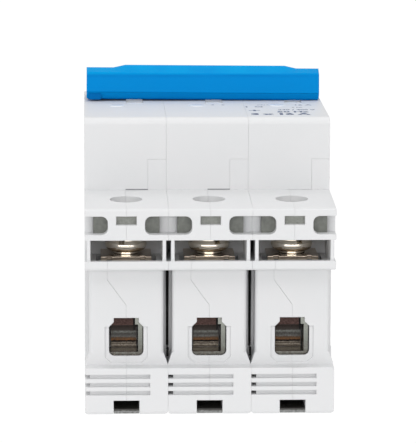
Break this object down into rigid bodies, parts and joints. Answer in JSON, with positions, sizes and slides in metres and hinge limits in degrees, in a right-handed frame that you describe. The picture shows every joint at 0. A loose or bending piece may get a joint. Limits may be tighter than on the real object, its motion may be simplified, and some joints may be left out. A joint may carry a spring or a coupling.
{
  "type": "miniature circuit breaker",
  "caption": "Modular circuit breaker for a mounting rail, with a blue tie bar over the toggles, screw terminals behind cable windows, and sprung rail clips",
  "frame": {"origin": "middle of the three poles, on the plane of the housings' feet", "axes": "+X across the poles to the right, +Y from the line end to the load end, +Z out of the wall towards the toggles"},
  "size_m": [0.0524, 0.085, 0.0683],
  "materials": {
    "housing_plastic": "fine satin, light grey",
    "toggle_plastic": "satin blue",
    "nickel_plate": "nickel plated",
    "zinc_plate": "zinc plated",
    "copper": "bare copper",
    "clip_plastic": "dark grey"
  },
  "bodies": {
    "housing": {"case_1": "housing_plastic", "cover_1": "housing_plastic", "line_strap_1": "copper", "load_strap_1": "copper", "bimetal_1": "nickel_plate", "arc_chute_1": "zinc_plate", "trip_coil_1": "copper", "coil_yoke_1": "zinc_plate", "line_clamp_plate_1": "nickel_plate", "load_clamp_plate_1": "nickel_plate", "case_2": "housing_plastic", "cover_2": "housing_plastic", "line_strap_2": "copper", "load_strap_2": "copper", "bimetal_2": "nickel_plate", "arc_chute_2": "zinc_plate", "trip_coil_2": "copper", "coil_yoke_2": "zinc_plate", "line_clamp_plate_2": "nickel_plate", "load_clamp_plate_2": "nickel_plate", "case_3": "housing_plastic", "cover_3": "housing_plastic", "line_strap_3": "copper", "load_strap_3": "copper", "bimetal_3": "nickel_plate", "arc_chute_3": "zinc_plate", "trip_coil_3": "copper", "coil_yoke_3": "zinc_plate", "line_clamp_plate_3": "nickel_plate", "load_clamp_plate_3": "nickel_plate", "rivet_1": "zinc_plate", "rivet_2": "zinc_plate", "rivet_3": "zinc_plate", "rivet_4": "zinc_plate", "rivet_5": "zinc_plate"},
    "toggle": {"toggle_bar": "toggle_plastic", "toggle_lever_1": "housing_plastic", "toggle_lever_2": "housing_plastic", "toggle_lever_3": "housing_plastic"},
    "contact_1": {"contact_arm_1": "copper"},
    "line_screw_1": {"line_screw_1": "nickel_plate"},
    "line_cage_1": {"line_cage_1": "zinc_plate"},
    "line_clip_1": {"line_rail_clip_1": "clip_plastic"},
    "load_screw_1": {"load_screw_1": "nickel_plate"},
    "load_cage_1": {"load_cage_1": "zinc_plate"},
    "load_clip_1": {"load_rail_clip_1": "clip_plastic"},
    "contact_2": {"contact_arm_2": "copper"},
    "line_screw_2": {"line_screw_2": "nickel_plate"},
    "line_cage_2": {"line_cage_2": "zinc_plate"},
    "line_clip_2": {"line_rail_clip_2": "clip_plastic"},
    "load_screw_2": {"load_screw_2": "nickel_plate"},
    "load_cage_2": {"load_cage_2": "zinc_plate"},
    "load_clip_2": {"load_rail_clip_2": "clip_plastic"},
    "contact_3": {"contact_arm_3": "copper"},
    "line_screw_3": {"line_screw_3": "nickel_plate"},
    "line_cage_3": {"line_cage_3": "zinc_plate"},
    "line_clip_3": {"line_rail_clip_3": "clip_plastic"},
    "load_screw_3": {"load_screw_3": "nickel_plate"},
    "load_cage_3": {"load_cage_3": "zinc_plate"},
    "load_clip_3": {"load_rail_clip_3": "clip_plastic"}
  },
  "joints": [
    {"name": "toggle_turn", "type": "hinge", "parent": "housing", "child": "toggle", "pos_m": [0, 0.0018, 0.0564], "axis": [1, 0, 0], "range_deg": [0, 62]},
    {"name": "contact_turn_1", "type": "hinge", "parent": "housing", "child": "contact_1", "pos_m": [-0.0175, 0.006, 0.039], "axis": [-1, 0, 0], "range_deg": [0, 12]},
    {"name": "contact_turn_2", "type": "hinge", "parent": "housing", "child": "contact_2", "pos_m": [0, 0.006, 0.039], "axis": [-1, 0, 0], "range_deg": [0, 12]},
    {"name": "contact_turn_3", "type": "hinge", "parent": "housing", "child": "contact_3", "pos_m": [0.0175, 0.006, 0.039], "axis": [-1, 0, 0], "range_deg": [0, 12]},
    {"name": "line_screw_turn_1", "type": "hinge", "parent": "housing", "child": "line_screw_1", "pos_m": [-0.0175, -0.0321, 0.0337], "axis": [0, 0, -1], "range_deg": [0, 2430]},
    {"name": "line_cage_lift_1", "type": "slide", "parent": "housing", "child": "line_cage_1", "axis": [0, 0, 1], "range_m": [0, 0.0054]},
    {"name": "line_clip_slide_1", "type": "slide", "parent": "housing", "child": "line_clip_1", "axis": [0, -1, 0], "range_m": [0, 0.0022], "stiffness_N_per_m": 400},
    {"name": "line_screw_turn_2", "type": "hinge", "parent": "housing", "child": "line_screw_2", "pos_m": [0, -0.0321, 0.0337], "axis": [0, 0, -1], "range_deg": [0, 2430]},
    {"name": "line_cage_lift_2", "type": "slide", "parent": "housing", "child": "line_cage_2", "axis": [0, 0, 1], "range_m": [0, 0.0054]},
    {"name": "line_clip_slide_2", "type": "slide", "parent": "housing", "child": "line_clip_2", "axis": [0, -1, 0], "range_m": [0, 0.0022], "stiffness_N_per_m": 400},
    {"name": "line_screw_turn_3", "type": "hinge", "parent": "housing", "child": "line_screw_3", "pos_m": [0.0175, -0.0321, 0.0337], "axis": [0, 0, -1], "range_deg": [0, 2430]},
    {"name": "line_cage_lift_3", "type": "slide", "parent": "housing", "child": "line_cage_3", "axis": [0, 0, 1], "range_m": [0, 0.0054]},
    {"name": "line_clip_slide_3", "type": "slide", "parent": "housing", "child": "line_clip_3", "axis": [0, -1, 0], "range_m": [0, 0.0022], "stiffness_N_per_m": 400},
    {"name": "load_screw_turn_1", "type": "hinge", "parent": "housing", "child": "load_screw_1", "pos_m": [-0.0175, 0.0321, 0.0337], "axis": [0, 0, -1], "range_deg": [0, 2430]},
    {"name": "load_cage_lift_1", "type": "slide", "parent": "housing", "child": "load_cage_1", "axis": [0, 0, 1], "range_m": [0, 0.0054]},
    {"name": "load_clip_slide_1", "type": "slide", "parent": "housing", "child": "load_clip_1", "axis": [0, 1, 0], "range_m": [0, 0.0022], "stiffness_N_per_m": 400},
    {"name": "load_screw_turn_2", "type": "hinge", "parent": "housing", "child": "load_screw_2", "pos_m": [0, 0.0321, 0.0337], "axis": [0, 0, -1], "range_deg": [0, 2430]},
    {"name": "load_cage_lift_2", "type": "slide", "parent": "housing", "child": "load_cage_2", "axis": [0, 0, 1], "range_m": [0, 0.0054]},
    {"name": "load_clip_slide_2", "type": "slide", "parent": "housing", "child": "load_clip_2", "axis": [0, 1, 0], "range_m": [0, 0.0022], "stiffness_N_per_m": 400},
    {"name": "load_screw_turn_3", "type": "hinge", "parent": "housing", "child": "load_screw_3", "pos_m": [0.0175, 0.0321, 0.0337], "axis": [0, 0, -1], "range_deg": [0, 2430]},
    {"name": "load_cage_lift_3", "type": "slide", "parent": "housing", "child": "load_cage_3", "axis": [0, 0, 1], "range_m": [0, 0.0054]},
    {"name": "load_clip_slide_3", "type": "slide", "parent": "housing", "child": "load_clip_3", "axis": [0, 1, 0], "range_m": [0, 0.0022], "stiffness_N_per_m": 400}
  ],
  "couplings": [
    {"joint": "contact_turn_1", "follows": "toggle_turn", "ratio": 0.19355},
    {"joint": "contact_turn_2", "follows": "toggle_turn", "ratio": 0.19355},
    {"joint": "contact_turn_3", "follows": "toggle_turn", "ratio": 0.19355},
    {"joint": "line_screw_turn_1", "follows": "line_cage_lift_1", "rad_per_m": 7854},
    {"joint": "line_screw_turn_2", "follows": "line_cage_lift_2", "rad_per_m": 7854},
    {"joint": "line_screw_turn_3", "follows": "line_cage_lift_3", "rad_per_m": 7854},
    {"joint": "load_screw_turn_1", "follows": "load_cage_lift_1", "rad_per_m": 7854},
    {"joint": "load_screw_turn_2", "follows": "load_cage_lift_2", "rad_per_m": 7854},
    {"joint": "load_screw_turn_3", "follows": "load_cage_lift_3", "rad_per_m": 7854}
  ]
}
